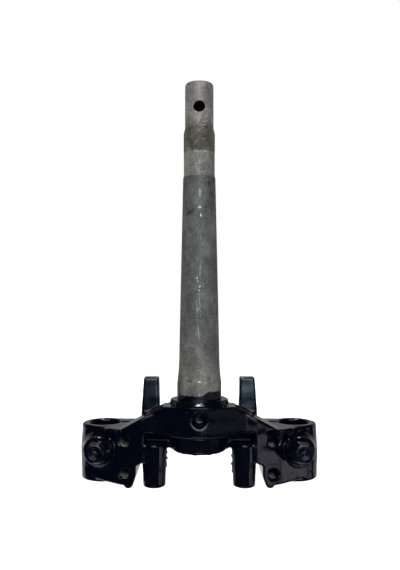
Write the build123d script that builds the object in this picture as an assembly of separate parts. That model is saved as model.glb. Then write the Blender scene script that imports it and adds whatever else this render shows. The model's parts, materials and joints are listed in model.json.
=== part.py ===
from build123d import *
import os
from math import cos, radians, sin, tan

# Lower triple clamp of a small motorcycle: forged bridge, pressed-in steering stem and two flange bolts.
# Sizes are in millimetres. Z runs up the stem, X across to the right fork leg, Y towards the front wheel.
# The origin is on the stem axis, on the shoulder that carries the lower steering bearing.

# Steering stem, heights above the bearing shoulder
stem_top = 263.7
plain_diameter = 24.0
thread_diameter = 26.0
thread_top = 222.0
thread_runout = 4.0
band_base = 184.0
taper_top_diameter = 27.2
taper_base = 33.0
taper_base_diameter = 33.6
seat_height = 13.0
seat_diameter = 36.8
press_diameter = 34.0
press_recess = 3.0
stem_wall = 3.0
stem_end_radius = 2.2
cross_hole_diameter = 9.8
cross_hole_drop = 22.1

# Hub and arms, drops below the bearing shoulder
collar_diameter = 48.4
collar_height = 4.0
collar_edge = 0.8
hub_diameter = 49.0
hub_depth = 42.0
hub_edge = 1.5
shoulder_half_width = 28.4
ridge_far = 4.0
shelf_thickness = 14.0
band_reach = 20.0
band_crown = 27.5
band_tip_inset = 22.6
band_foot_half_width = 21.0
band_foot_drop = 27.6
band_foot_radius = 8.0
band_sink = 1.5
saddle_half_width = 18.5
saddle_foot_diameter = 57.0
socket_diameter = 9.6
socket_mouth_diameter = 14.4
socket_mouth_depth = 2.2
socket_drop = 13.4
socket_depth = 9.0

# Fork clamps
fork_diameter = 26.0
fork_spacing = 162.4
fork_offset = 20.0
bore_chamfer = 0.6
clamp_wall = 7.3
clamp_drop = 23.1
parting_depth = 23.6
upper_draft = 2.8
lower_draft = 2.0
clamp_edge = 1.2
clamp_corner_inset = 17.0
slit_width = 2.4
cheek_sweep = 38.0
cheek_corner_radius = 6.0
cheek_rise = 2.9
facet_inset = 29.0
facet_sweep = 9.0
facet_lean = 5.5
facet_step = 0.7

# Pinch ears on the inner side of each clamp
plate_reach = 17.5
pinch_offset = 21.6
pinch_drop = 32.7
pinch_spacing = 25.4
pinch_thread_diameter = 8.7
pinch_clearance_diameter = 10.5
ear_edge = 8.8
ear_far_depth = 16.5
ear_foot_width = 4.4
ear_foot_setback = 3.2
ear_foot_taper = 10.0
ear_foot_step = 2.2
ear_notch_radius = 1.0
ear_toe_radius = 1.2
ear_heel_radius = 4.0
ear_flank_radius = 8.0

# Posts, webs and lugs
stand_drop = 69.3
post_spacing = 73.0
post_reach = 9.0
post_top_drop = 34.3
post_top_radius = 10.4
post_foot_radius = 9.0
post_edge = 1.0
post_thread_diameter = 6.8
post_thread_depth = 20.0
web_reach = 6.5
web_thickness = 14.0
inner_web_drop = 39.4
link_drop = 48.5
link_fall = 3.0
link_offset = 7.5
link_thickness = 14.0
lug_height = 16.3
lug_top_width = 12.7
lug_inner_position = 34.2
lug_depth = 13.8
lug_inner_taper = 1.7
lug_outer_taper = 3.6
lug_lean = 3.0
lug_edge = 1.0

# Bolts in the bosses on the clamps
bolt_diameter = 10.0
bolt_drop = 37.3
bolt_seat_reach = 23.0
bolt_length = 18.0
bolt_point = 1.0
flange_diameter = 20.6
flange_rim = 1.2
flange_thickness = 3.2
hex_across_flats = 14.0
head_height = 13.0
head_dish_diameter = 9.0
head_dish_depth = 0.8
hex_chamfer_angle = 30.0
boss_radius = 10.8
boss_edge = 0.8
boss_foot_radius = 18.6
boss_foot_drop = 45.0
thread_relief = 2.0

# Levels and places that follow from the sizes above
fork_x = fork_spacing / 2
clamp_top = -clamp_drop
clamp_bottom = -stand_drop
clamp_height = clamp_top - clamp_bottom
parting_level = clamp_top - parting_depth
clamp_radius = fork_diameter / 2 + clamp_wall
clamp_top_radius = clamp_radius - parting_depth * tan(radians(upper_draft))
clamp_foot_radius = clamp_radius - (clamp_height - parting_depth) * tan(radians(lower_draft))
clamp_corner_x = fork_x - clamp_corner_inset
pinch_x = fork_x - pinch_offset
ear_inner_x = pinch_x - ear_edge
slit_near = fork_offset - slit_width / 2
ear_far = fork_offset + ear_far_depth
post_x = post_spacing / 2
link_x = post_x + link_offset
plate_near = -plate_reach
arm_slope = (clamp_drop - collar_height) / (clamp_corner_x - shoulder_half_width)


def slope_level(x):
    """Height of the arm's sloping top at a distance x from the stem axis."""
    return -collar_height - (x - shoulder_half_width) * arm_slope


def across(outline, near, far):
    """Extrude an outline drawn in X and Z along Y, from near to far."""
    return extrude(Plane.XZ.offset(-far) * outline, far - near, dir=(0, -1, 0))


def upright(outline, low, high):
    """Extrude an outline drawn in X and Y along Z, from low to high."""
    return extrude(Plane.XY.offset(low) * outline, high - low, dir=(0, 0, 1))


def rounded(points, radii):
    """Closed outline through the points, each corner rounded by its own radius."""
    return make_face(FilletPolyline(*points, radius=radii, close=True))


def both_sides(points):
    """Complete the right half of a symmetric outline with its mirror image."""
    return points + [(-x, z) for x, z in reversed(points)]


def hole_y(x, z, diameter, near, far):
    """Round hole along Y between two planes."""
    return Pos(x, (near + far) / 2, z) * Rot(90, 0, 0) * Cylinder(diameter / 2, far - near)


def make_stem():
    """Hollow stem turned about Z: the bore follows the outside at one wall thickness."""
    plain = plain_diameter / 2
    thread = thread_diameter / 2
    taper_top = taper_top_diameter / 2
    taper_foot = taper_base_diameter / 2
    seat = seat_diameter / 2
    press = press_diameter / 2
    stem_foot = -hub_depth + press_recess
    taper_direction = (taper_foot - taper_top, taper_base - band_base)

    end = Line((plain - stem_wall, stem_top), (plain - stem_end_radius, stem_top))
    end_round = TangentArc(
        (plain - stem_end_radius, stem_top), (plain, stem_top - stem_end_radius), tangent=(1, 0)
    )
    upper = Polyline(
        (plain, stem_top - stem_end_radius),
        (plain, thread_top + thread_runout),
        (thread, thread_top),
        (thread, band_base),
        (taper_top, band_base),
        (taper_foot, taper_base),
    )
    flare = TangentArc((taper_foot, taper_base), (seat, seat_height), tangent=taper_direction)
    lower = Polyline(
        (seat, seat_height),
        (seat, 0),
        (press, 0),
        (press, stem_foot),
        (press - stem_wall, stem_foot),
        (press - stem_wall, taper_base),
        (plain - stem_wall, band_base),
        (plain - stem_wall, stem_top),
    )
    stem = revolve(Plane.XZ * make_face([end, end_round, upper, flare, lower]), Axis.Z)
    # The cross hole is drilled through the wall on the near side only
    cross_hole = hole_y(0, stem_top - cross_hole_drop, cross_hole_diameter, -plain_diameter, 0)
    return stem - cross_hole


def make_hub():
    """Round hub under the bearing collar."""
    hub = Pos(0, 0, -hub_depth) * Cylinder(
        hub_diameter / 2, hub_depth - collar_height, align=(Align.CENTER, Align.CENTER, Align.MIN)
    )
    hub = fillet(hub.edges().group_by(Axis.Z)[0], hub_edge)
    collar = Pos(0, 0, -collar_height) * Cylinder(
        collar_diameter / 2, collar_height, align=(Align.CENTER, Align.CENTER, Align.MIN)
    )
    collar = fillet(collar.edges().group_by(Axis.Z)[-1], collar_edge)
    return hub + collar


def make_band():
    """Raised band across the near face, bulging over the hub and running out on the arms."""
    tip_x = fork_x - band_tip_inset
    front_view = rounded(
        both_sides(
            [
                (shoulder_half_width, -collar_height),
                (tip_x, slope_level(tip_x)),
                (band_foot_half_width, -band_foot_drop),
            ]
        ),
        [0, 0, band_foot_radius, band_foot_radius, 0, 0],
    )
    return across(front_view, -2 * band_crown, 0) & upright(band_plan(), -hub_depth, 0)


def band_plan():
    """Plan of the band: it bulges over the hub and sinks into the flat of the arms at its tips."""
    tip_x = fork_x - band_tip_inset
    tip_y = band_sink - plate_reach
    crown = Spline(
        (-tip_x, tip_y),
        (-shoulder_half_width, -band_reach),
        (0, -band_crown),
        (shoulder_half_width, -band_reach),
        (tip_x, tip_y),
    )
    back = Polyline((tip_x, tip_y), (tip_x, 0), (-tip_x, 0), (-tip_x, tip_y))
    return make_face([crown, back])


def make_saddle():
    """Slope from the collar's edge down to the band, on the near side of the stem."""
    rise = collar_height - collar_edge
    cone = Pos(0, 0, -collar_height) * Cone(
        saddle_foot_diameter / 2, collar_diameter / 2, rise, align=(Align.CENTER, Align.CENTER, Align.MIN)
    )
    width = Rectangle(2 * saddle_half_width, 2 * band_crown, align=(Align.CENTER, Align.MAX))
    return cone & upright(band_plan(), -collar_height, 0) & upright(width, -collar_height, 0)


def make_ridge():
    """Sloping ridge of both arms, behind the band."""
    outline = Polygon(
        *both_sides(
            [
                (shoulder_half_width, -collar_height),
                (clamp_corner_x, clamp_top),
                (band_foot_half_width, -band_foot_drop),
            ]
        ),
        align=None,
    )
    return across(outline, plate_near, ridge_far)


def make_shelf():
    """Level shelf behind the right ridge, from the hub to the ear."""
    outline = Polygon(
        (0, clamp_top),
        (pinch_x, clamp_top),
        (pinch_x, clamp_top - shelf_thickness),
        (0, clamp_top - shelf_thickness),
        align=None,
    )
    return across(outline, -web_reach, slit_near)


def make_web():
    """Web that carries the right post, and the plate that links it to the ear."""
    web_outline = Polygon(
        (0, clamp_top),
        (ear_inner_x, clamp_top),
        (ear_inner_x, -link_drop),
        (post_x, -link_drop),
        (post_x, -inner_web_drop),
        (0, -inner_web_drop),
        align=None,
    )
    link_outline = Polygon(
        (link_x, clamp_top),
        (ear_inner_x, clamp_top),
        (ear_inner_x, -link_drop - link_fall),
        (link_x, -link_drop),
        align=None,
    )
    web = across(web_outline, -web_reach, web_thickness - web_reach)
    return web + across(link_outline, plate_near, plate_near + link_thickness)


def ear_outline(outer_x):
    """Front view of the pinch ears out to outer_x, with the foot that stands on the ground."""
    foot_x = ear_inner_x + ear_foot_setback
    toe_x = foot_x + ear_foot_width
    points = [
        (ear_inner_x, clamp_top),
        (outer_x, clamp_top),
        (outer_x, cheek_rise - stand_drop),
        (toe_x + ear_foot_step, cheek_rise - stand_drop),
        (toe_x, -stand_drop),
        (foot_x, -stand_drop),
        (ear_inner_x, -stand_drop + ear_foot_taper),
    ]
    radii = [0, 0, 0, ear_notch_radius, ear_toe_radius, ear_heel_radius, ear_flank_radius]
    return rounded(points, radii)


def make_clamp():
    """Right fork clamp: drafted round, near cheek that runs into the ear plate, and the pinch ears."""
    centre = Pos(fork_x, fork_offset, parting_level)
    upper = centre * Cone(
        clamp_radius, clamp_top_radius, parting_depth, align=(Align.CENTER, Align.CENTER, Align.MIN)
    )
    lower = centre * Cone(
        clamp_foot_radius,
        clamp_radius,
        clamp_height - parting_depth,
        align=(Align.CENTER, Align.CENTER, Align.MAX),
    )
    upper = fillet(upper.edges().group_by(Axis.Z)[-1], clamp_edge)
    lower = fillet(lower.edges().group_by(Axis.Z)[0], clamp_edge)
    # In plan the cheek is a straight that touches the round and bends into the ear plate
    sweep = radians(cheek_sweep)
    touch_x = fork_x + clamp_top_radius * sin(sweep)
    touch_y = fork_offset - clamp_top_radius * cos(sweep)
    bend_x = touch_x - (touch_y - plate_near) / tan(sweep)
    plan = rounded(
        [
            (ear_inner_x, plate_near),
            (bend_x, plate_near),
            (touch_x, touch_y),
            (fork_x, fork_offset),
            (ear_inner_x, fork_offset),
        ],
        [0, cheek_corner_radius, 0, 0, 0],
    )
    near_ear = across(ear_outline(touch_x), plate_near, fork_offset) & upright(plan, -stand_drop, clamp_top)
    far_ear = across(ear_outline(fork_x), fork_offset, ear_far)
    return upper + lower + near_ear + far_ear - make_facet_cut()


def make_facet_cut():
    """Shallow pocket beside the upper pinch hole, with a step along its slanting inner edge."""
    slant = tan(radians(facet_lean)) / tan(radians(facet_sweep))
    edge_x = fork_x - facet_inset
    foot_x = edge_x + clamp_height * slant
    outline = Polygon(
        (edge_x, clamp_top),
        (foot_x, clamp_bottom),
        (fork_x, clamp_bottom),
        (fork_x, clamp_top),
        align=None,
    )
    pocket = across(outline, 2 * plate_near, fork_offset)
    floor_normal = Vector(tan(radians(facet_sweep)), -1, tan(radians(facet_lean)))
    floor = Plane(origin=(edge_x, plate_near + facet_step, clamp_top), z_dir=floor_normal)
    return split(pocket, floor, keep=Keep.TOP)


def make_boss():
    """Boss that carries the right flange bolt, lofted from a wider and lower foot inside the clamp."""
    front = bolt_plane() * Circle(boss_radius)
    foot_plane = Plane(origin=(fork_x, fork_offset, -boss_foot_drop), x_dir=(1, 0, 0), z_dir=(0, -1, 0))
    boss = loft([foot_plane * Circle(boss_foot_radius), front])
    return fillet(boss.edges().group_by(Axis.Y)[0], boss_edge)


def bolt_plane():
    """Seat of the right flange bolt, with its Z axis pointing out towards the viewer."""
    return Plane(origin=(fork_x, -bolt_seat_reach, -bolt_drop), x_dir=(1, 0, 0), z_dir=(0, -1, 0))


def make_post():
    """Right post: a drafted round that stands on the ground plane."""
    height = stand_drop - post_top_drop
    post = Cone(
        post_foot_radius, post_top_radius, height, align=(Align.CENTER, Align.CENTER, Align.MIN)
    )
    post = fillet(post.edges().filter_by(GeomType.CIRCLE), post_edge)
    return Pos(post_x, -post_reach, -stand_drop) * post


def make_lug():
    """Right upright lug on the arm, narrower towards its top."""
    foot = -clamp_drop
    rise = lug_height - foot
    outer = lug_inner_position + lug_top_width
    outline = Polygon(
        (lug_inner_position, lug_height),
        (outer, lug_height),
        (outer + rise * tan(radians(lug_outer_taper)), foot),
        (lug_inner_position - rise * tan(radians(lug_inner_taper)), foot),
        align=None,
    )
    near = slit_near - lug_depth
    lean = Plane(origin=(outer, near, foot), z_dir=(0, -1, tan(radians(lug_lean))))
    lug = split(across(outline, near, slit_near), lean, keep=Keep.BOTTOM)
    upright_edges, top_edges = lug.edges().group_by(Axis.Z)[1:]
    return fillet(upright_edges + top_edges, lug_edge)


def make_right_cuts():
    """Everything that is cut out of the right half."""
    bore = Pos(fork_x, fork_offset, clamp_bottom) * Cylinder(
        fork_diameter / 2, clamp_height, align=(Align.CENTER, Align.CENTER, Align.MIN)
    )
    slit_outline = Polygon(
        (0, clamp_top), (fork_x, clamp_top), (fork_x, -stand_drop), (0, -stand_drop), align=None
    )
    cuts = [bore, across(slit_outline, slit_near, slit_near + slit_width)]
    mouth_radius = fork_diameter / 2 + bore_chamfer
    for level, low_radius, high_radius, side in (
        (clamp_top, fork_diameter / 2, mouth_radius, Align.MAX),
        (clamp_bottom, mouth_radius, fork_diameter / 2, Align.MIN),
    ):
        mouth = Cone(low_radius, high_radius, bore_chamfer, align=(Align.CENTER, Align.CENTER, side))
        cuts.append(Pos(fork_x, fork_offset, level) * mouth)
    for z in (-pinch_drop, -pinch_drop - pinch_spacing):
        cuts.append(hole_y(pinch_x, z, pinch_thread_diameter, 2 * plate_near, fork_offset))
        cuts.append(hole_y(pinch_x, z, pinch_clearance_diameter, fork_offset, ear_far))
    bolt_hole = Cylinder(
        bolt_diameter / 2, bolt_length + thread_relief, align=(Align.CENTER, Align.CENTER, Align.MAX)
    )
    cuts.append(bolt_plane() * bolt_hole)
    post_hole = Cylinder(
        post_thread_diameter / 2, post_thread_depth, align=(Align.CENTER, Align.CENTER, Align.MIN)
    )
    cuts.append(Pos(post_x, -post_reach, -stand_drop) * post_hole)
    return cuts


def make_bridge():
    """The whole forging, from its right half, the mirror image of that and the parts on the middle."""
    right = make_clamp() + make_boss() + make_post() + make_web() + make_shelf() + make_lug()
    bridge = make_hub() + make_ridge() + make_band() + right + mirror(right, about=Plane.YZ)
    bridge = bridge + make_saddle()
    for cut in make_right_cuts():
        bridge = bridge - cut - mirror(cut, about=Plane.YZ)
    stem_bore = Cylinder(press_diameter / 2, 3 * hub_depth)
    socket = hole_y(0, -socket_drop, socket_diameter, -2 * band_crown, -band_crown + socket_depth)
    mouth = Cone(
        socket_diameter / 2,
        socket_mouth_diameter / 2,
        socket_mouth_depth,
        align=(Align.CENTER, Align.CENTER, Align.MAX),
    )
    mouth_plane = Plane(origin=(0, -band_crown, -socket_drop), x_dir=(1, 0, 0), z_dir=(0, -1, 0))
    return bridge - stem_bore - socket - mouth_plane * mouth


def make_bolt():
    """Hex flange bolt, with its seat on the local XY plane and its head up along Z."""
    shank = Cylinder(bolt_diameter / 2, bolt_length, align=(Align.CENTER, Align.CENTER, Align.MAX))
    shank = chamfer(shank.edges().group_by(Axis.Z)[0], bolt_point)
    flange_radius = flange_diameter / 2
    flange = revolve(
        Plane.XZ
        * Polygon(
            (0, 0),
            (flange_radius, 0),
            (flange_radius, flange_rim),
            (hex_across_flats / 2, flange_thickness),
            (0, flange_thickness),
            align=None,
        ),
        Axis.Z,
    )
    hexagon = extrude(RegularPolygon(hex_across_flats / 2, 6, major_radius=False), head_height)
    crown_drop = hex_across_flats * tan(radians(hex_chamfer_angle)) / 2
    crown = revolve(
        Plane.XZ
        * Polygon(
            (0, 0),
            (hex_across_flats, 0),
            (hex_across_flats, head_height - crown_drop),
            (hex_across_flats / 2, head_height),
            (0, head_height),
            align=None,
        ),
        Axis.Z,
    )
    dish = Pos(0, 0, head_height) * Cone(
        head_dish_diameter / 2 - head_dish_depth,
        head_dish_diameter / 2,
        head_dish_depth,
        align=(Align.CENTER, Align.CENTER, Align.MAX),
    )
    return shank + flange + (hexagon & crown) - dish


bolt_right = bolt_plane() * make_bolt()
nodes = {
    "lower_bridge": make_bridge(),
    "steering_stem": make_stem(),
    "flange_bolt_right": bolt_right,
    "flange_bolt_left": mirror(bolt_right, about=Plane.YZ),
}

os.makedirs("parts", exist_ok=True)
for name, shape in nodes.items():
    shape.label = name
    export_step(shape, f"parts/{name}.step")
    print(name, round(shape.volume, 1), shape.bounding_box())
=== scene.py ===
import json
import math

import bmesh
import bpy
import numpy as np
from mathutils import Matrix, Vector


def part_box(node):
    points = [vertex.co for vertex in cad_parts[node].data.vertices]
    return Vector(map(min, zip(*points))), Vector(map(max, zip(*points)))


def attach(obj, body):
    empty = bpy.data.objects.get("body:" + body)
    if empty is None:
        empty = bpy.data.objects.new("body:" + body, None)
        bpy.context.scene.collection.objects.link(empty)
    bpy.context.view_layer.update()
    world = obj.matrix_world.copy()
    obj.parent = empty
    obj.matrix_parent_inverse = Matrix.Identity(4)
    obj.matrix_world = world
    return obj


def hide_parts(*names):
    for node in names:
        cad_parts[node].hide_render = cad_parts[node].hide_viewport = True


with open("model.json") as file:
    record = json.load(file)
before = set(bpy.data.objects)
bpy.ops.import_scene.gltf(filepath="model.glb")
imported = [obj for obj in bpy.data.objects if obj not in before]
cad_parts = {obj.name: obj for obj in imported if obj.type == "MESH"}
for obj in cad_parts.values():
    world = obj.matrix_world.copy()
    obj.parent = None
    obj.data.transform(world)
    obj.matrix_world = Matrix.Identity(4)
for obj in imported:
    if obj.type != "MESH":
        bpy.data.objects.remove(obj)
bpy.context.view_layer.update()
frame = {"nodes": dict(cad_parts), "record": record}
mm = 0.001
fullTurn = 2 * np.pi
mounts = {mount["name"]: mount for mount in frame["record"]["mounts"]}
print("frame loaded:", ", ".join(sorted(frame["nodes"])))


class Wire:
    # one shader socket: sums of values read as plain Python and add their Math nodes
    def __init__(self, tree, socket=None):
        self.tree = tree
        self.socket = socket

    def node(self, kind, settings=None, sockets=None, out=0):
        made = self.tree.nodes.new(kind)
        for key, value in (settings or {}).items():
            setattr(made, key, value)
        for key, value in (sockets or {}).items():
            if isinstance(value, Wire):
                self.tree.links.new(value.socket, made.inputs[key])
            else:
                made.inputs[key].default_value = value
        return Wire(self.tree, made.outputs[out] if len(made.outputs) else None)

    def maths(self, operation, *others):
        return self.node("ShaderNodeMath", {"operation": operation}, dict(enumerate([self, *others])))

    def __add__(self, other):
        return self.maths("ADD", other)

    __radd__ = __add__

    def __sub__(self, other):
        return self.maths("SUBTRACT", other)

    def __rsub__(self, other):
        return self.maths("MULTIPLY", -1.0).maths("ADD", other)

    def __mul__(self, other):
        return self.maths("MULTIPLY", other)

    __rmul__ = __mul__

    def __truediv__(self, other):
        return self.maths("DIVIDE", other)

    def parts(self):
        # the three numbers of a vector
        split = self.node("ShaderNodeSeparateXYZ", None, {0: self}).socket.node
        return [Wire(self.tree, socket) for socket in split.outputs]

    def step(self, low, high):
        # eased rise from 0 at low to 1 at high, or a fall from 1 at high to 0 at low where high is below low
        settings = {"interpolation_type": "SMOOTHSTEP"}
        if high >= low:
            return self.node("ShaderNodeMapRange", settings, {0: self, 1: low, 2: high})
        return 1 - self.node("ShaderNodeMapRange", settings, {0: self, 1: high, 2: low})

    def between(self, low, high, soft):
        # 1 between low and high, with an eased edge that reaches as far as soft to both sides of each
        return self.step(low - soft, low + soft) * self.step(high + soft, high - soft)

    def mix(self, first, second):
        # colour first where this mask is 0, colour second where it is 1
        return self.node("ShaderNodeMix", {"data_type": "RGBA"}, {0: self, 6: first, 7: second}, out=2)

    def tint(self, colour):
        # this colour times another
        settings = {"data_type": "RGBA", "blend_type": "MULTIPLY"}
        return self.node("ShaderNodeMix", settings, {0: 1.0, 6: self, 7: colour}, out=2)


def grey(value):
    return (value, value, value, 1)


def newFinish(name):
    # an empty material, its first wire and its Object coordinates
    material = bpy.data.materials.new(name)
    material.use_nodes = True
    tree = material.node_tree
    tree.nodes.clear()
    wire = Wire(tree)
    coords = wire.node("ShaderNodeTexCoord", out="Object")
    return material, wire, coords


def closeFinish(wire, sockets):
    shader = wire.node("ShaderNodeBsdfPrincipled", None, sockets)
    wire.node("ShaderNodeOutputMaterial", None, {"Surface": shader})


def noise(wire, coords, size, detail=3, roughness=0.55, stretch=(1, 1, 1)):
    # cloudy value about 0.5, with lumps as wide as size in the units of its coordinates
    spread = wire.node("ShaderNodeMapping", None, {"Vector": coords, "Scale": stretch})
    sockets = {"Vector": spread, "Scale": 1 / size, "Detail": detail, "Roughness": roughness}
    return wire.node("ShaderNodeTexNoise", None, sockets)


def swing(cloudy, reach):
    # a length that wanders by up to half of reach to both sides of 0
    return (cloudy - 0.5) * reach


def bump(wire, height, distance, under=None, strength=1.0):
    sockets = {"Height": height, "Distance": distance, "Strength": strength}
    if under is not None:
        sockets["Normal"] = under
    return wire.node("ShaderNodeBump", None, sockets)


# a place in mm that lies outside the bridge on every side
beyond = 99
paintLook = {
    "base": (0.0004, 0.0008, 0.0024, 1),
    "dusty": (0.0012, 0.0015, 0.0030, 1),
    "dust": {"size": 14 * mm, "detail": 4},
    "dustRange": (0.52, 0.75),
    "roughness": (0.08, 0.20),
    "haze": {"size": 6 * mm, "detail": 4},
    "hazeRange": (0.35, 0.75),
    "ior": 1.5,
    "wave": {"size": 9 * mm, "detail": 2, "roughness": 0.4},
    "waveDepth": 0.10 * mm,
    "peel": {"size": 1.6 * mm, "detail": 2},
    "peelDepth": 0.02 * mm,
    "nibSpacing": 3.4 * mm,
    "nibReach": 0.17,
    "nibPatches": {"size": 11 * mm, "detail": 1},
    "nibRange": (0.5, 0.6),
    "nibDepth": 0.20 * mm,
    # lean of the ears' near flats: where its slope starts, eases, bends and ends across, its tangent, and
    # the normals that take it
    "earFrom": 46.2 * mm,
    "earEase": 0.6 * mm,
    "earBend": 62.3 * mm,
    "earTo": 65.8 * mm,
    "earLean": math.tan(math.radians(25)),
    "earFacing": (-0.55, -0.8),
    # boxes of dry paint on both sides, in mm: ranges across, in depth and in height, their soft edges, and
    # the share that is dull
    "dullBoxes": {
        "hollowOverPost": {
            "ranges": ((25.5, 49), (-12, -4.5), (-34.8, -25.8)),
            "edges": (1, 1, 0.4),
            "share": 0.85,
        },
        "postFlank": {
            "ranges": ((25, 29.4), (-beyond, 2.5), (-beyond, -35.5)),
            "edges": (0.5, 0.5, 0.5),
            "share": 0.6,
        },
        "lugFoot": {
            "ranges": ((32, 52), (-beyond, beyond), (-10.5, -0.3)),
            "edges": (1, 1, 1),
            "share": 0.55,
        },
        "collarFoot": {
            "ranges": ((-beyond, 13.5), (-beyond, -17.5), (-6.2, -3.4)),
            "edges": (0.5, 0.5, 0.4),
            "share": 0.75,
        },
    },
    "dullBore": {"radius": 13.5 * mm, "rim": 0.5 * mm, "top": -25 * mm, "fade": 1 * mm, "share": 0.45},
}


def earLean(look, x):
    # height that falls from the ear's inner edge to the cheek: a straight slope that starts and ends as a
    # parabola
    run = x.maths("MAXIMUM", look["earFrom"]).maths("MINIMUM", look["earTo"]) - look["earFrom"]
    start = run.maths("MINIMUM", look["earEase"])
    end = (run - (look["earBend"] - look["earFrom"])).maths("MAXIMUM", 0.0)
    rise = run - start + start * start / (2 * look["earEase"])
    return (rise - end * end / (2 * (look["earTo"] - look["earBend"]))) * -1.0


def dullPlaces(look, x, y, z):
    # share of the paint that is dry and dull: the highest of the shares in the fork bores and in the boxes
    bore = look["dullBore"]
    boreX, boreY = mounts["fork_clamp_right"]["pos_m"][:2]
    fromX, fromY = x - boreX, y - boreY
    away = (fromX * fromX + fromY * fromY).maths("SQRT")
    onWall = away.step(bore["radius"] + bore["rim"], bore["radius"])
    dull = onWall * z.step(bore["top"] + bore["fade"], bore["top"]) * bore["share"]
    for place in look["dullBoxes"].values():
        inside = place["share"]
        for value, (low, high), edge in zip((x, y, z), place["ranges"], place["edges"]):
            inside = value.between(low * mm, high * mm, edge * mm) * inside
        dull = dull.maths("MAXIMUM", inside)
    return dull


def makePaint(name, look):
    material, wire, coords = newFinish(name)
    dust = noise(wire, coords, **look["dust"]).step(*look["dustRange"])
    colour = dust.mix(look["base"], look["dusty"])
    smooth, rough = look["roughness"]
    haze = noise(wire, coords, **look["haze"]).step(*look["hazeRange"])
    cellSockets = {"Vector": coords, "Scale": 1 / look["nibSpacing"]}
    cells = wire.node("ShaderNodeTexVoronoi", {"feature": "F1"}, cellSockets, out="Distance")
    patches = noise(wire, coords, **look["nibPatches"]).step(*look["nibRange"])
    nibs = cells.step(look["nibReach"], 0.0) * patches
    x, y, z = coords.parts()
    x = x.maths("ABSOLUTE")
    facing = wire.node("ShaderNodeNewGeometry", out="Normal").parts()[1].step(*look["earFacing"])
    normal = bump(wire, earLean(look, x), look["earLean"], strength=facing)
    normal = bump(wire, noise(wire, coords, **look["wave"]), look["waveDepth"], under=normal)
    normal = bump(wire, noise(wire, coords, **look["peel"]), look["peelDepth"], under=normal)
    normal = bump(wire, nibs, look["nibDepth"], under=normal)
    sockets = {
        "Base Color": colour,
        "Roughness": haze * (rough - smooth) + smooth,
        "Normal": normal,
        "IOR": look["ior"],
    }
    gloss = wire.node("ShaderNodeBsdfPrincipled", None, sockets)
    dull = wire.node("ShaderNodeBsdfDiffuse", None, {"Color": look["base"]})
    shader = wire.node("ShaderNodeMixShader", None, {0: dullPlaces(look, x, y, z), 1: gloss, 2: dull})
    wire.node("ShaderNodeOutputMaterial", None, {"Surface": shader})
    return material


boltLook = {**paintLook, "roughness": (0.06, 0.16), "waveDepth": 0.04 * mm}
blackPaint = makePaint("blackPaint", paintLook)
boltPaint = makePaint("boltPaint", boltLook)
print("paint made")


# steel of the stem: colours from the top down, heights of its zones, and how ragged their borders are
stemLook = {
    "top": (0.140, 0.135, 0.124, 1),
    "thread": (0.070, 0.067, 0.058, 1),
    "grease": (0.014, 0.0135, 0.012, 1),
    "band": (0.117, 0.117, 0.107, 1),
    "shoulder": (0.056, 0.056, 0.056, 1),
    "body": (0.060, 0.061, 0.060, 1),
    "foot": (0.094, 0.094, 0.086, 1),
    "black": (0.0008, 0.0012, 0.0030, 1),
    # painted shade: near black for the inside of the tube
    "inside": (0.002, 0.002, 0.004, 1),
    # light specks and streaks: partly scratches, partly a painted highlight
    "speck": (0.55, 0.55, 0.53, 1),
    "streak": (0.21, 0.21, 0.19, 1),
    "straw": (0.20, 0.185, 0.135, 1),
    "dark": (0.012, 0.012, 0.014, 1),
    "footLevels": (60 * mm, 10 * mm),
    "shoulderLow": 120 * mm,
    "bandLow": 184 * mm,
    "threadLow": 204.5 * mm,
    "threadHigh": 223.5 * mm,
    "threadFade": 2 * mm,
    "topFade": (-1 * mm, 11 * mm),
    "topRagged": 16 * mm,
    "edge": 0.4 * mm,
    "rim": (-1.0 * mm, 0.3 * mm),
    "rimGrain": (0.42, 0.55),
    "wornGrain": (0.53, 0.66),
    "wornCloud": (0.42, 0.6),
    "wornShare": 0.8,
    "greaseDepths": (-7.6 * mm, -2.0 * mm),
    "greaseCloud": 7 * mm,
    "greaseGrain": 4 * mm,
    "frontEdge": 2 * mm,
    "wobble": {"size": 6 * mm, "detail": 3},
    "wobbleReach": 1.6 * mm,
    "mottle": {"size": 15 * mm, "detail": 5, "roughness": 0.6, "stretch": (1, 1, 0.6)},
    "cloud": {"size": 4.5 * mm, "detail": 4, "roughness": 0.6},
    "grain": {"size": 1.5 * mm, "detail": 4, "roughness": 0.75},
    "noiseRange": (0.3, 0.7),
    "mottleShades": (0.62, 1.36),
    "cloudShades": (0.82, 1.2),
    "grainShades": (0.72, 1.3),
    "pitGrain": (0.46, 0.3),
    "pitLevels": (150 * mm, 230 * mm),
    "pitShares": (0.25, 0.60),
    "streakGrain": (0.40, 0.52),
    "speckGrain": (0.44, 0.50),
    "sprayLow": 4.2 * mm,
    "sprayRise": 3.2 * mm,
    "sprayAcross": (0.0, 7 * mm),
    "sprayLift": {"size": 7 * mm, "detail": 4},
    "sprayRagged": 4 * mm,
    "sprayEdge": 0.5 * mm,
    "insideRadius": 10.4 * mm,
    "insideEdge": 0.5 * mm,
    "metallic": 0.3,
    "sprayRoughness": 0.18,
    "bareRoughness": 0.22,
    "mottleRoughness": 0.12,
    "greaseRoughness": 0.05,
    "cloudDepth": 0.16 * mm,
    "grainDepth": 0.22 * mm,
    "strokeEdge": (1.0, 0.25),
}
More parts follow.
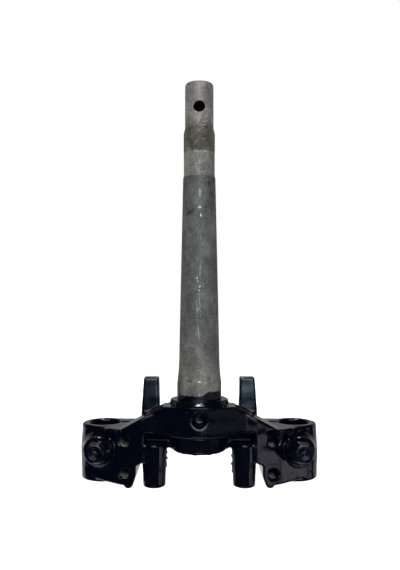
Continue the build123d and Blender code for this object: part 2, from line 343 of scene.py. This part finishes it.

# marks on the side that faces the viewer, where the light specks and streaks along the middle are partly
# scratches and partly a painted highlight: each stroke is start, end and width in mm, as (across, height)
specksAndGlints = (
    ((-0.9, 156.9), (1.1, 157.7), 1.3),
    ((0.2, 155.8), (1.6, 157.9), 0.8),
    ((0.9, 152.9), (1.7, 149.0), 1.0),
    ((-2.0, 100.4), (-1.3, 98.6), 0.9),
    ((-1.5, 97.4), (-0.7, 96.0), 0.8),
    ((-3.6, 99.6), (-3.2, 98.9), 0.7),
    ((-0.4, 92.6), (0.5, 91.8), 0.9),
    ((0.3, 93.2), (1.3, 92.4), 0.7),
    ((-0.5, 90.2), (0.6, 88.8), 0.9),
    ((-1.2, 15.7), (1.6, 15.7), 0.8),
)
streaksAndSheen = (
    ((1.8, 228.2), (6.6, 229.6), 1.3),
    ((1.8, 225.8), (6.0, 226.8), 1.5),
    ((1.0, 113.0), (0.4, 99.0), 0.7),
    ((-0.6, 90.0), (1.6, 66.0), 0.7),
    ((-1.8, 64.0), (0.6, 47.0), 0.8),
    ((-2.4, 84.0), (-1.4, 70.0), 1.2),
    ((0.0, 197.4), (0.9, 193.0), 0.9),
    ((0.4, 174.0), (0.6, 165.0), 2.2),
    ((-2.2, 116.0), (-1.8, 113.0), 0.7),
    ((-0.9, 76.0), (0.4, 73.4), 0.8),
    ((-1.6, 79.0), (-1.0, 77.2), 0.8),
    ((1.0, 134.0), (1.6, 131.0), 0.8),
    ((-5.0, 186.6), (7.0, 186.6), 0.7),
    ((-2.5, 24.6), (1.0, 24.8), 0.6),
    ((-0.5, 7.0), (0.8, 2.0), 1.6),
)
darkStrokes = (
    ((-12.6, 150.6), (-2.4, 156.6), 1.6),
    ((7.6, 178.4), (8.0, 175.4), 2.2),
    ((6.0, 148.6), (6.5, 147.2), 1.3),
    ((-11.6, 16.2), (-5.0, 15.8), 0.9),
)


def stroke(x, z, start, end, width):
    # 1 on a thin ellipse from start to end: the squares of the shares along it and across it sum to 1 at its
    # edge
    (startX, startZ), (endX, endZ) = start, end
    length = math.hypot(endX - startX, endZ - startZ)
    dirX, dirZ = (endX - startX) / length, (endZ - startZ) / length
    fromX = x - (startX + endX) / 2 * mm
    fromZ = z - (startZ + endZ) / 2 * mm
    along = (fromX * dirX + fromZ * dirZ) / (length / 2 * mm)
    across = (fromZ * dirX - fromX * dirZ) / (width / 2 * mm)
    return (along * along + across * across).step(*stemLook["strokeEdge"])


def strokes(x, z, places):
    return sum(stroke(x, z, *place) for place in places).maths("MINIMUM", 1.0)


def makeStemSteel(look):
    material, wire, coords = newFinish("stemSteel")
    x, y, z = coords.parts()
    facing = y.step(look["frontEdge"], -look["frontEdge"])
    radius = (x * x + y * y).maths("SQRT")
    level = z + swing(noise(wire, coords, **look["wobble"]), look["wobbleReach"])
    mottle, cloud, grain = (noise(wire, coords, **look[name]) for name in ("mottle", "cloud", "grain"))
    # zones from the foot up
    edge, bandLow = look["edge"], look["bandLow"]
    threadLow, threadHigh = look["threadLow"], look["threadHigh"]
    colour = level.step(*look["footLevels"]).mix(look["body"], look["foot"])
    colour = level.step(look["shoulderLow"], bandLow).mix(colour, look["shoulder"])
    colour = level.step(bandLow - 2 * edge, bandLow + 2 * edge).mix(colour, look["band"])
    rimLow, rimHigh = look["rim"]
    rim = level.between(threadLow + rimLow, threadLow + rimHigh, edge) * grain.step(*look["rimGrain"])
    colour = rim.mix(colour, look["straw"])
    aboveRim = level.step(threadLow - edge, threadLow + edge)
    colour = aboveRim.mix(colour, look["thread"])
    fadeLow, fadeHigh = look["topFade"]
    atTop = (level + swing(cloud, look["topRagged"])).step(threadHigh + fadeLow, threadHigh + fadeHigh)
    colour = atTop.mix(colour, look["top"])
    worn = aboveRim * (1 - atTop) * grain.step(*look["wornGrain"]) * cloud.step(*look["wornCloud"])
    colour = (worn * look["wornShare"]).mix(colour, look["straw"])
    # the thread band is bright at the front and darker round the sides and back
    inThread = aboveRim * level.step(threadHigh + look["threadFade"], threadHigh - look["threadFade"])
    depth = y + swing(cloud, look["greaseCloud"]) + swing(grain, look["greaseGrain"])
    grease = inThread * depth.step(*look["greaseDepths"])
    colour = grease.mix(colour, look["grease"])
    # blotches, grain and pits, then the marks
    for cloudy, shades in ((mottle, "mottleShades"), (cloud, "cloudShades"), (grain, "grainShades")):
        dark, light = look[shades]
        colour = colour.tint(cloudy.step(*look["noiseRange"]).mix(grey(dark), grey(light)))
    fewPits, manyPits = look["pitShares"]
    pits = level.step(*look["pitLevels"]) * (manyPits - fewPits) + fewPits
    colour = (grain.step(*look["pitGrain"]) * pits).mix(colour, look["dark"])
    # light streaks and specks: partly scratches, partly a painted highlight down the middle of the front
    streakAndSheenMask = strokes(x, z, streaksAndSheen) * facing * grain.step(*look["streakGrain"])
    colour = streakAndSheenMask.mix(colour, look["streak"])
    speckAndGlintMask = strokes(x, z, specksAndGlints) * facing * grain.step(*look["speckGrain"])
    colour = speckAndGlintMask.mix(colour, look["speck"])
    colour = (strokes(x, z, darkStrokes) * facing).mix(colour, look["dark"])
    # black overspray at the foot, and painted shade: the inside of the tube is coloured near black
    lift = swing(noise(wire, coords, **look["sprayLift"]), look["sprayRagged"])
    sprayTop = x.step(*look["sprayAcross"]) * facing * look["sprayRise"] + look["sprayLow"]
    spray = (z + lift - sprayTop).step(look["sprayEdge"], -look["sprayEdge"])
    colour = spray.mix(colour, look["black"])
    insideRadius, insideEdge = look["insideRadius"], look["insideEdge"]
    inside = radius.step(insideRadius + insideEdge, insideRadius - insideEdge)
    colour = inside.mix(colour, look["inside"])
    bare = (1 - spray) * (1 - inside)
    dry = mottle.step(*look["noiseRange"]) * look["mottleRoughness"] + grease * look["greaseRoughness"]
    sockets = {
        "Base Color": colour,
        "Metallic": bare * (1 - grease) * look["metallic"],
        "Roughness": bare * (dry + look["bareRoughness"]) + look["sprayRoughness"],
        "Normal": bump(wire, grain, look["grainDepth"], under=bump(wire, cloud, look["cloudDepth"])),
    }
    closeFinish(wire, sockets)
    return material


stemSteel = makeStemSteel(stemLook)
print("stem steel made")


sleeveLook = {
    "clean": (0.32, 0.32, 0.31, 1),
    "dull": (0.06, 0.06, 0.063, 1),
    # painted shade: near black for the upper right of each hole's wall and deep inside it
    "mist": (0.002, 0.002, 0.004, 1),
    "cloud": {"size": 2.2 * mm, "detail": 4},
    "cloudRange": (0.38, 0.62),
    "sideEdge": 1 * mm,
    "middleEdge": 0.1 * mm,
    "mistUp": 0.8,
    "mistOut": 0.6,
    "mistRagged": 3 * mm,
    "mistRange": (-3.0 * mm, -1.2 * mm),
    "deepRange": (12 * mm, 24 * mm),
    "metallic": 0.6,
    "roughness": (0.25, 0.55),
    "scratch": {"size": 0.7 * mm, "detail": 3},
    "scratchDepth": 0.03 * mm,
}


def makeSleeveSteel(look):
    material, wire, coords = newFinish("sleeveSteel")
    x, y, z = coords.parts()
    cloud = noise(wire, coords, **look["cloud"])
    # painted shade on the upper right of each hole's wall, by height and place within the hole, and deep
    # inside
    left = x.step(look["sideEdge"], -look["sideEdge"])
    holeX, holeY, holeZ = mounts["pinch_bolts_right"]["pos_m"]
    spacing = mounts["pinch_bolts_right"]["dims"]["spacing_y_mm"] * mm
    upper = z.step(holeZ - look["middleEdge"], holeZ + look["middleEdge"])
    up = z - (holeZ - spacing / 2) - upper * spacing
    out = x - holeX + left * (2 * holeX)
    mist = up * look["mistUp"] + out * look["mistOut"] + swing(cloud, look["mistRagged"])
    deepFrom, deepTo = look["deepRange"]
    deep = y.step(holeY + deepFrom, holeY + deepTo)
    colour = cloud.step(*look["cloudRange"]).mix(look["dull"], look["clean"])
    colour = mist.step(*look["mistRange"]).maths("MAXIMUM", deep).mix(colour, look["mist"])
    smooth, rough = look["roughness"]
    sockets = {
        "Base Color": colour,
        "Metallic": look["metallic"],
        "Roughness": cloud * (rough - smooth) + smooth,
        "Normal": bump(wire, noise(wire, coords, **look["scratch"]), look["scratchDepth"]),
    }
    closeFinish(wire, sockets)
    return material


sleeveSteel = makeSleeveSteel(sleeveLook)
print("sleeve steel made")


meshShape = {"mergeReach": 0.001 * mm, "cadMergeReach": 0.002 * mm}


def smoothFaces(mesh):
    mesh.polygons.foreach_set("use_smooth", np.ones(len(mesh.polygons), bool))


def gridMesh(name, points, wrapU=False, wrapV=False):
    # faces join each point of a rows by columns grid to its neighbours
    rows, columns = points.shape[:2]
    index = np.arange(rows * columns).reshape(rows, columns)
    if wrapU:
        index = np.concatenate([index, index[:1]], 0)
    if wrapV:
        index = np.concatenate([index, index[:, :1]], 1)
    corners = np.stack([index[:-1, :-1], index[:-1, 1:], index[1:, 1:], index[1:, :-1]], -1).reshape(-1, 4)
    mesh = bpy.data.meshes.new(name)
    mesh.from_pydata(points.reshape(-1, 3).tolist(), [], corners.tolist())
    smoothFaces(mesh)
    mesh.update()
    return mesh


def closeMesh(mesh):
    # merges the points of a pole or seam and turns every face outwards
    work = bmesh.new()
    work.from_mesh(mesh)
    bmesh.ops.remove_doubles(work, verts=work.verts, dist=meshShape["mergeReach"])
    bmesh.ops.recalc_face_normals(work, faces=work.faces)
    work.to_mesh(mesh)
    work.free()
    smoothFaces(mesh)
    return mesh


def addPiece(name, mesh, material):
    piece = bpy.data.objects.new(name, mesh)
    bpy.context.scene.collection.objects.link(piece)
    piece.data.materials.clear()
    piece.data.materials.append(material)
    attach(piece, "root")
    return piece


# sizes of the bolt in mm: heights are above its seat and radii about its axis
boltShape = {
    "headHeight": 13.0,
    "shankLength": 18.0,
    "shankRadius": 5.0,
    "point": 1.0,
    "flangeRim": 1.2,
    "flangeTop": 3.2,
    # inset from the flange's radius, and height above the seat or above the rim
    "seatEdge": ((0.25, 0.0), (0.07, 0.07), (0.0, 0.25)),
    "rimEdge": ((0.0, -0.3), (0.08, -0.08), (0.3, 0.16)),
    "coneInset": 1.0,
    "apothem": 7.0,
    "cornerReach": 1.14,  # the hexagon's rounded corners, as a share of its apothem
    # outset from the hexagon, and height above the flange's cone
    "headFoot": ((0.35, 0.0), (0.12, 0.03), (0.0, 0.15), (0.0, 0.6)),
    # the round edge of the crown: its leans are in degrees from the head's axis
    "crownStart": 4.0,
    "crownLeans": (89, 75, 66, 60, 54, 48, 42, 36, 30, 25, 20, 15, 10, 5, 0),
    "crownFlat": 5.9,
    "crownBend": 2.3,
    "faceRings": (5.4, 5.0, 4.8),
    "dishRadius": 4.5,
    # inset from the dish's radius, and depth
    "dishEdge": ((-0.1, 0.0), (0.06, 0.03), (0.2, 0.1), (0.5, 0.36), (0.7, 0.46), (1.0, 0.5)),
    "dishDepth": 0.5,
    "bowlInset": 1.0,
    "bowlDepth": 0.06,
    "bowlStart": 1.2,
    "bowlRings": 16,
    "dimpleRadius": 1.7,
    "dimpleDepth": 1.6,
    "around": 168,
}


# the forged skin: lumps of flash as place, height and width in mm, and beads as start and end in mm
skinShape = {
    "voxel": 0.95 * mm,
    "smoothing": 3,
    "smoothFactor": 0.5,
    # each wave's direction in radians per metre, and its start
    "waves": (((520, 310, 190), 0.0), ((-260, 480, 370), 1.3), ((150, -390, 540), 2.1)),
    "skinDepth": 0.10 * mm,
    "lumps": (
        ((-26.9, -9, -42.1), 1.0, 1.2),
        ((-26.8, -8, -47.2), 1.5, 1.0),
        ((-26.9, -10, -50.4), 1.1, 0.9),
        ((-27.0, -8, -53.2), 1.2, 1.1),
        ((26.9, -8, -45.2), 1.3, 1.0),
        ((26.9, -9, -51.5), 1.5, 1.0),
        ((27.1, -9, -57.3), 1.3, 1.0),
        ((27.0, -10, -54.4), 0.8, 1.2),
        ((-14, -20, -42.8), 0.8, 1.6),
        ((-4, -24, -42.8), 0.8, 1.5),
        ((9, -22, -42.8), 0.7, 1.6),
    ),
    "beads": (
        ((-55.6, -17.4, -28.6), (-52.0, -17.4, -24.2)),
        ((55.6, -17.4, -28.6), (52.0, -17.4, -24.2)),
    ),
    "beadHeight": 0.55,
    "beadWidth": 0.75,
    "bossFall": 3.4 * mm,
    "bossReach": 17 * mm,
    "bossEnd": 1.5,  # in shares of the reach
    "bossFade": 0.5,
    "bossInner": 9.0 * mm,
    "bossInnerRamp": 1.6 * mm,
    "bossOuter": 15.5 * mm,
    "bossOuterRamp": 4 * mm,
    "hubRadii": (21 * mm, 25.6 * mm),
    "hubFoot": -43.5 * mm,
    "hubDraftTop": -25 * mm,
    "hubDraft": math.tan(math.radians(7)),
}


def softenedMesh(node, name, shape):
    # a copy of a CAD node, merged, remeshed to even quads and smoothed so that its edges turn soft
    source = bpy.data.objects.new(name + "Source", frame["nodes"][node].data.copy())
    bpy.context.scene.collection.objects.link(source)
    work = bmesh.new()
    work.from_mesh(source.data)
    bmesh.ops.remove_doubles(work, verts=work.verts, dist=meshShape["cadMergeReach"])
    work.to_mesh(source.data)
    work.free()
    remesh = source.modifiers.new("remesh", "REMESH")
    remesh.mode = "VOXEL"
    remesh.voxel_size = shape["voxel"]
    smooth = source.modifiers.new("smooth", "SMOOTH")
    smooth.iterations = shape["smoothing"]
    smooth.factor = shape["smoothFactor"]
    bpy.context.view_layer.update()
    mesh = bpy.data.meshes.new_from_object(source.evaluated_get(bpy.context.evaluated_depsgraph_get()))
    mesh.name = name
    bpy.data.objects.remove(source)
    smoothFaces(mesh)
    return mesh


def readVectors(collection, key):
    values = np.empty(len(collection) * 3, np.float32)
    collection.foreach_get(key, values)
    return values.reshape(-1, 3).astype(float)


def bellCurve(away, height, width):
    return height * mm * np.exp(-((away / (width * mm)) ** 2))


def bossFall(shape, points):
    # how far the top of each bolt's boss falls behind its rim: in proportion to the depth behind the seat
    # and to the height above the bolt's axis, only near the boss
    fall = np.zeros(len(points))
    for side in ("left", "right"):
        low, high = (np.array(corner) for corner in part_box("flange_bolt_" + side))
        across = points[:, 0] - (low[0] + high[0]) / 2
        up = points[:, 2] - (low[2] + high[2]) / 2
        radius = np.hypot(across, up)
        depth = (points[:, 1] - low[1] - boltShape["headHeight"] * mm) / shape["bossReach"]
        share = np.clip(depth, 0, 1) * np.clip((shape["bossEnd"] - depth) / shape["bossFade"], 0, 1)
        ring = np.clip((radius - shape["bossInner"]) / shape["bossInnerRamp"], 0, 1)
        ring *= np.clip((shape["bossOuter"] - radius) / shape["bossOuterRamp"], 0, 1)
        fall += shape["bossFall"] * share * ring * np.clip(up / np.maximum(radius, mm), 0, 1)
    return fall


def draftHub(shape, points):
    # the near half of the hub narrows downwards, in proportion to the height below the band
    radius = np.hypot(points[:, 0], points[:, 1])
    near, far = shape["hubRadii"]
    onHub = (radius > near) & (radius < far) & (points[:, 1] < 0) & (points[:, 2] > shape["hubFoot"])
    shrink = shape["hubDraft"] * np.clip(shape["hubDraftTop"] - points[:, 2], 0, None) * onHub
    moved = points.copy()
    moved[:, :2] *= (1 - shrink / np.maximum(radius, mm))[:, None]
    return moved


def makeBridge(shape):
    mesh = softenedMesh("lower_bridge", "bridgeSkin", shape)
    points = readVectors(mesh.vertices, "co")
    normals = readVectors(mesh.vertex_normals, "vector")
    # forged skin: the mean of sine waves in three directions, a tenth of a millimetre deep
    waves = [np.sin(points @ np.array(direction) + start) for direction, start in shape["waves"]]
    rise = np.mean(waves, 0) * shape["skinDepth"]
    # flash: a bell curve of the distance from the middle of each lump
    for place, height, width in shape["lumps"]:
        away = np.linalg.norm(points - np.array(place) * mm, axis=1)
        rise += bellCurve(away, height, width)
    # beads beside the upper pinch holes: a bell curve of the distance from a short line
    for start, end in np.array(shape["beads"]) * mm:
        share = np.clip((points - start) @ (end - start) / np.sum((end - start) ** 2), 0, 1)
        away = np.linalg.norm(points - start - share[:, None] * (end - start), axis=1)
        rise += bellCurve(away, shape["beadHeight"], shape["beadWidth"])
    points += normals * rise[:, None]
    points[:, 2] -= bossFall(shape, points)
    points = draftHub(shape, points)
    mesh.vertices.foreach_set("co", points.astype(np.float32).ravel())
    mesh.update()
    piece = addPiece("bridgeSkin", mesh, blackPaint)
    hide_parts("lower_bridge")
    print("bridge skin:", len(mesh.polygons), "faces")


makeBridge(skinShape)


def boltRows(shape, flangeRadius):
    # rows of (radius, height) from the shank's point to the middle of the head, each over the angles of one
    # turn: the head's radius is the hexagon's, or that of the crown's round edge where that is less
    angle = np.linspace(0, fullTurn, shape["around"], endpoint=False)
    fold = angle % (np.pi / 3) - np.pi / 6
    flat, top, flangeRim = shape["apothem"], shape["headHeight"], shape["flangeRim"]
    hexagon = np.minimum(flat / np.cos(fold), flat * shape["cornerReach"])
    coneSlope = (shape["flangeTop"] - flangeRim) / (flangeRadius - flat)
    rows = []

    def ring(radius, height):
        rows.append((radius + 0 * angle, height + 0 * angle))

    ring(0, -shape["shankLength"])
    ring(shape["shankRadius"] - shape["point"], -shape["shankLength"])
    ring(shape["shankRadius"], shape["point"] - shape["shankLength"])
    ring(shape["shankRadius"], 0)
    for inset, up in shape["seatEdge"]:
        ring(flangeRadius - inset, up)
    for inset, up in (*shape["rimEdge"], (shape["coneInset"], coneSlope * shape["coneInset"])):
        ring(flangeRadius - inset, flangeRim + up)
    for out, up in shape["headFoot"]:
        ring(hexagon + out, shape["flangeTop"] - coneSlope * (hexagon + out - flat) + up)
    ring(hexagon, top - shape["crownStart"])
    for lean in np.radians(shape["crownLeans"]):
        crown = shape["crownFlat"] + shape["crownBend"] * np.sin(lean)
        ring(np.minimum(hexagon, crown), top - shape["crownBend"] * (1 - np.cos(lean)))
    for radius in shape["faceRings"]:
        ring(radius, top)
    dish = shape["dishRadius"]
    for inset, down in shape["dishEdge"]:
        ring(dish - inset, top - down)
    for radius in np.linspace(dish - shape["bowlStart"], 0, shape["bowlRings"]):
        bowl = shape["bowlDepth"] * (1 - (radius / (dish - shape["bowlInset"])) ** 2)
        dimple = shape["dimpleDepth"] * np.exp(-((radius / shape["dimpleRadius"]) ** 4))
        ring(radius, top - shape["dishDepth"] - bowl - dimple)
    radii, heights = np.array(rows).swapaxes(0, 1)
    return angle, radii, heights


def makeBolts(shape):
    for side in ("left", "right"):
        node = "flange_bolt_" + side
        low, high = (np.array(corner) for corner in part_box(node))
        middleX, middleZ = (low[0] + high[0]) / 2, (low[2] + high[2]) / 2
        seat = low[1] + shape["headHeight"] * mm
        angle, radius, height = boltRows(shape, (high[0] - low[0]) / 2 / mm)
        across, up = radius * mm * np.cos(angle), radius * mm * np.sin(angle)
        points = np.stack([middleX + across, seat - height * mm, middleZ + up], -1)
        mesh = closeMesh(gridMesh(node + "Skin", points, wrapV=True))
        piece = addPiece(node + "Skin", mesh, boltPaint)
        piece.visible_glossy = False  # the paint beside the bolts shows only the room
        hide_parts(node)
        print(side, "bolt:", len(mesh.polygons), "faces")


makeBolts(boltShape)


stemNode = frame["nodes"]["steering_stem"]
stemNode.data.materials.clear()
stemNode.data.materials.append(stemSteel)


threadShape = {
    "low": 204.5 * mm,
    "high": 222 * mm,
    "core": 12.97 * mm,
    "back": 12.6 * mm,
    "depth": 0.22 * mm,
    "pitch": 1.0 * mm,
    "around": 96,
    "perTurn": 8,
}


def threadRidge(along, angle, pitch):
    # triangle wave from 0 to 1 of (place along the axis / pitch - angle / full turn)
    phase = (along / pitch - angle / fullTurn) % 1.0
    return 1 - np.abs(2 * phase - 1)


def makeStemThread(shape):
    # radius = core + depth times the thread's triangle wave, faded out at both ends, and closed by a plain
    # back inside the stem's wall
    low, high, pitch = shape["low"], shape["high"], shape["pitch"]
    rows = int((high - low) / pitch * shape["perTurn"]) + 1
    height = np.linspace(low, high, rows)[:, None]
    angle = np.linspace(0, fullTurn, shape["around"], endpoint=False)[None, :]
    fade = np.clip(np.minimum(height - low, high - height) / pitch, 0, 1)
    radius = shape["core"] + shape["depth"] * threadRidge(height, angle, pitch) * fade
    radius = np.concatenate([radius, np.full((2, shape["around"]), shape["back"])])
    height = np.concatenate([height, height[-1:], height[:1]]) + 0 * angle
    points = np.stack([radius * np.sin(angle), -radius * np.cos(angle), height], -1)
    mesh = closeMesh(gridMesh("stemThread", points, wrapU=True, wrapV=True))
    addPiece("stemThread", mesh, stemSteel)
    print("stem thread:", rows, "rows")


makeStemThread(threadShape)


sleeveShape = {
    "crest": 3.95 * mm,
    "root": 4.3 * mm,
    "outer": 4.7 * mm,
    "pitch": 1.25 * mm,
    "setback": 4.0 * mm,
    "length": 31 * mm,
    "perTurn": 8,
    "around": 48,
}


def sleeveMesh(shape, name, middleX, mouthY, middleZ):
    # inner radius = root - (root - crest) times the thread's triangle wave; the outer rows close the tube
    rows = int(shape["length"] / shape["pitch"] * shape["perTurn"]) + 1
    depth = np.linspace(0, shape["length"], rows)[:, None]
    angle = np.linspace(0, fullTurn, shape["around"], endpoint=False)[None, :]
    radius = shape["root"] - (shape["root"] - shape["crest"]) * threadRidge(depth, angle, shape["pitch"])
    radius = np.concatenate([radius, np.full((2, shape["around"]), shape["outer"])])
    depth = np.concatenate([depth, depth[-1:], depth[:1]]) + 0 * angle
    across, up = radius * np.cos(angle), radius * np.sin(angle)
    points = np.stack([middleX + across, mouthY + shape["setback"] + depth, middleZ + up], -1)
    return closeMesh(gridMesh(name, points, wrapU=True, wrapV=True))


def makeSleeves(shape):
    for side in ("left", "right"):
        mount = mounts["pinch_bolts_" + side]
        x, y, z = mount["pos_m"]
        half = mount["dims"]["spacing_y_mm"] / 2 * mm
        for level, middleZ in (("Upper", z + half), ("Lower", z - half)):
            name = "pinchThread" + level + side.capitalize()
            addPiece(name, sleeveMesh(shape, name, x, y, middleZ), sleeveSteel)
    print("pinch threads made")


makeSleeves(sleeveShape)


viewShape = {
    "place": (0.6 * mm, -501.6 * mm, 77.5 * mm),
    "pitch": 1.9,  # degrees above level
    "focalPixels": 600,
    "longSidePixels": 570,
    "sensorWidth": 36,
    "clip": (0.01, 60),
}


def makeCamera(shape):
    camera = bpy.data.cameras.new("camera")
    camera.sensor_width = shape["sensorWidth"]
    camera.lens = camera.sensor_width * shape["focalPixels"] / shape["longSidePixels"]
    camera.clip_start, camera.clip_end = shape["clip"]
    holder = bpy.data.objects.new("camera", camera)
    holder.location = shape["place"]
    holder.rotation_euler = (math.radians(90 + shape["pitch"]), 0, 0)
    bpy.context.scene.collection.objects.link(holder)
    bpy.context.scene.camera = holder


makeCamera(viewShape)


floorLook = {
    "level": -69.3 * mm,
    "reach": 12.0,
    "points": 9,
    "colours": ((0.92, 0.92, 0.92, 1), (0.9, 0.9, 0.9, 1)),
    "cloud": {"size": 0.4, "detail": 2},
    "roughness": 0.8,
    "glow": 0.97,
}


def makeFloor(look):
    across = np.linspace(-look["reach"], look["reach"], look["points"])
    gridX, gridY = np.meshgrid(across, across)
    points = np.stack([gridX, gridY, np.full_like(gridX, look["level"])], -1)
    material, wire, coords = newFinish("floorPaper")
    sockets = {
        "Base Color": noise(wire, coords, **look["cloud"]).mix(*look["colours"]),
        "Roughness": look["roughness"],
        "Emission Color": grey(1.0),
        "Emission Strength": look["glow"],
    }
    closeFinish(wire, sockets)
    floor = bpy.data.objects.new("floor", gridMesh("floor", points))
    floor.data.materials.append(material)
    floor.visible_glossy = False
    bpy.context.scene.collection.objects.link(floor)


# the room by direction: turn is in degrees to the right of the viewer's side, height is the upward share of
# the direction, and soft is how far the edge of a zone reaches
roomLook = {
    "ambient": 0.08,
    "frontDark": (0.006, 0.014, 0.045, 1),
    "frontHigh": (0.02, 0.02, 0.025, 1),
    "frontHighFrom": (0.12, 0.3),
    "below": (0.03, 0.03, 0.04, 1),
    "belowFrom": (-0.33, -0.40),
    "dusk": {"turn": (3.5, 46), "turnSoft": 1.5, "above": (-0.24, -0.20), "change": (8, 13)},
    "duskFront": (0.68, 0.66, 0.86, 1),
    "duskSide": (0.15, 0.15, 0.21, 1),
    "lilac": (0.95, 0.86, 1.02, 1),
    "lilacLow": {"turn": (50, 88), "turnSoft": 1.5, "gap": (64, 80), "gapSoft": 2, "gapShare": 0.45},
    "lilacLowBelow": (-0.18, -0.215),
    "lilacFacet": {"turn": (66, 82), "turnSoft": 2, "height": (-0.12, 0.03), "soft": 0.03},
    "lilacFacetShare": 0.35,
    "blue": {"turn": (-15, 15), "turnSoft": 4, "above": (-0.15, -0.11), "sides": (-0.06, 0.06)},
    "blueLeft": (0.30, 0.46, 0.73, 1),
    "blueLeftLevel": {"height": (-0.049, 0.1), "soft": 0.005, "low": grey(0.5), "high": grey(1.05)},
    "blueRight": (0.85, 1.15, 1.50, 1),
    "blueRightLevel": {"height": (-0.034, 0.1), "soft": 0.006, "low": grey(0.65)},
    "blueCloud": {"size": 0.016, "detail": 3},
    "blueCloudRange": (0.35, 0.65),
    "blueCloudShades": (grey(1.2), grey(2.9)),
    "glow": {"turn": (-24, 24), "turnSoft": 8, "height": (0.14, 0.55), "soft": 0.05},
    "glowColour": (3.4, 3.4, 3.4, 1),
    "lowLight": {"turn": (-16, 16), "turnSoft": 2, "height": (-0.72, -0.66), "soft": 0.02},
    "lowLightColour": (3.0, 3.0, 3.1, 1),
    "rear": {"turn": (103, 112), "sides": (-0.1, 0.1), "high": (-0.16, -0.06), "top": (0.35, 0.6)},
    "rearLeft": (0.85, 0.86, 0.88, 1),
    "rearRight": (0.48, 0.48, 0.50, 1),
    "rearHigh": (0.31, 0.315, 0.325, 1),
}


def makeRoom(look):
    # glossy rays see a room by direction: dark in front, dusk and lilac to the right, blue level with the
    # eye, a glow above it, a low light, and grey behind. The camera sees white, and soft white lights the
    # rest
    world = bpy.data.worlds.new("room")
    bpy.context.scene.world = world
    world.use_nodes = True
    world.node_tree.nodes.clear()
    wire = Wire(world.node_tree)
    direction = wire.node("ShaderNodeTexCoord", out="Generated")
    x, y, z = direction.parts()
    turn = x.maths("ARCTAN2", y * -1.0) / math.radians(1)

    def byTurn(zone):
        return turn.between(*zone["turn"], zone["turnSoft"])

    def byHeight(zone):
        return z.between(*zone["height"], zone["soft"])

    dusk = look["dusk"]
    duskColour = turn.step(*dusk["change"]).mix(look["duskFront"], look["duskSide"])
    colour = (byTurn(dusk) * z.step(*dusk["above"])).mix(look["frontDark"], duskColour)
    low = look["lilacLow"]
    gap = turn.between(*low["gap"], low["gapSoft"]) * low["gapShare"]
    lilacLow = byTurn(low) * (1 - gap) * z.step(*look["lilacLowBelow"])
    lilacFacet = byTurn(look["lilacFacet"]) * byHeight(look["lilacFacet"]) * look["lilacFacetShare"]
    colour = lilacLow.maths("MAXIMUM", lilacFacet).mix(colour, look["lilac"])
    # the lugs show the blue in two levels, with a cloudy upper one on the right
    leftLevel, rightLevel = look["blueLeftLevel"], look["blueRightLevel"]
    left = byHeight(leftLevel).mix(leftLevel["low"], leftLevel["high"]).tint(look["blueLeft"])
    cloudy = noise(wire, direction, **look["blueCloud"]).step(*look["blueCloudRange"])
    cloudy = cloudy.mix(*look["blueCloudShades"])
    right = byHeight(rightLevel).mix(rightLevel["low"], cloudy).tint(look["blueRight"])
    blue = x.step(*look["blue"]["sides"]).mix(left, right)
    colour = (byTurn(look["blue"]) * z.step(*look["blue"]["above"])).mix(colour, blue)
    colour = z.step(*look["frontHighFrom"]).mix(colour, look["frontHigh"])
    colour = (byTurn(look["glow"]) * byHeight(look["glow"])).mix(colour, look["glowColour"])
    colour = z.step(*look["belowFrom"]).mix(colour, look["below"])
    colour = (byTurn(look["lowLight"]) * byHeight(look["lowLight"])).mix(colour, look["lowLightColour"])
    behind = look["rear"]
    rear = x.step(*behind["sides"]).mix(look["rearLeft"], look["rearRight"])
    rear = z.step(*behind["high"]).mix(rear, look["rearHigh"])
    rear = z.step(*behind["top"]).mix(rear, look["frontHigh"])
    colour = turn.maths("ABSOLUTE").step(*behind["turn"]).mix(colour, rear)
    room = wire.node("ShaderNodeBackground", None, {"Color": colour, "Strength": 1.0})
    soft = wire.node("ShaderNodeBackground", None, {"Color": grey(1.0), "Strength": look["ambient"]})
    white = wire.node("ShaderNodeBackground", None, {"Color": grey(1.0), "Strength": 1.0})
    glossy = wire.node("ShaderNodeLightPath", out="Is Glossy Ray")
    seen = wire.node("ShaderNodeLightPath", out="Is Camera Ray")
    lit = wire.node("ShaderNodeMixShader", None, {0: glossy, 1: soft, 2: room})
    shown = wire.node("ShaderNodeMixShader", None, {0: seen, 1: lit, 2: white})
    wire.node("ShaderNodeOutputWorld", None, {"Surface": shown})


lampShape = {
    "overhead": {
        "place": (0, 0.2, 1.0),
        "aim": (0, 0.2, 0),
        "size": (0.45, 0.12),
        "power": 6,
        "gloss": True,
    },
    "fill": {
        "place": (0, -1.2, 0.5),
        "aim": (0, 0, 0.1),
        "size": (0.5, 0.5),
        "power": 20,
        "gloss": False,
    },
}


def makeLamps(lamps):
    for name, lamp in lamps.items():
        light = bpy.data.lights.new(name, "AREA")
        light.shape = "RECTANGLE"
        light.size, light.size_y = lamp["size"]
        light.energy = lamp["power"]
        holder = bpy.data.objects.new(name, light)
        place = np.array(lamp["place"], float)
        away = np.array(lamp["aim"], float) - place
        lean = math.acos(-away[2] / np.linalg.norm(away))
        holder.location = place
        holder.rotation_euler = (lean, 0, math.atan2(away[1], away[0]) - math.pi / 2)
        holder.visible_glossy = lamp["gloss"]
        bpy.context.scene.collection.objects.link(holder)


makeFloor(floorLook)
makeRoom(roomLook)
makeLamps(lampShape)
bpy.context.scene.view_settings.view_transform = "Standard"
print("stage set")
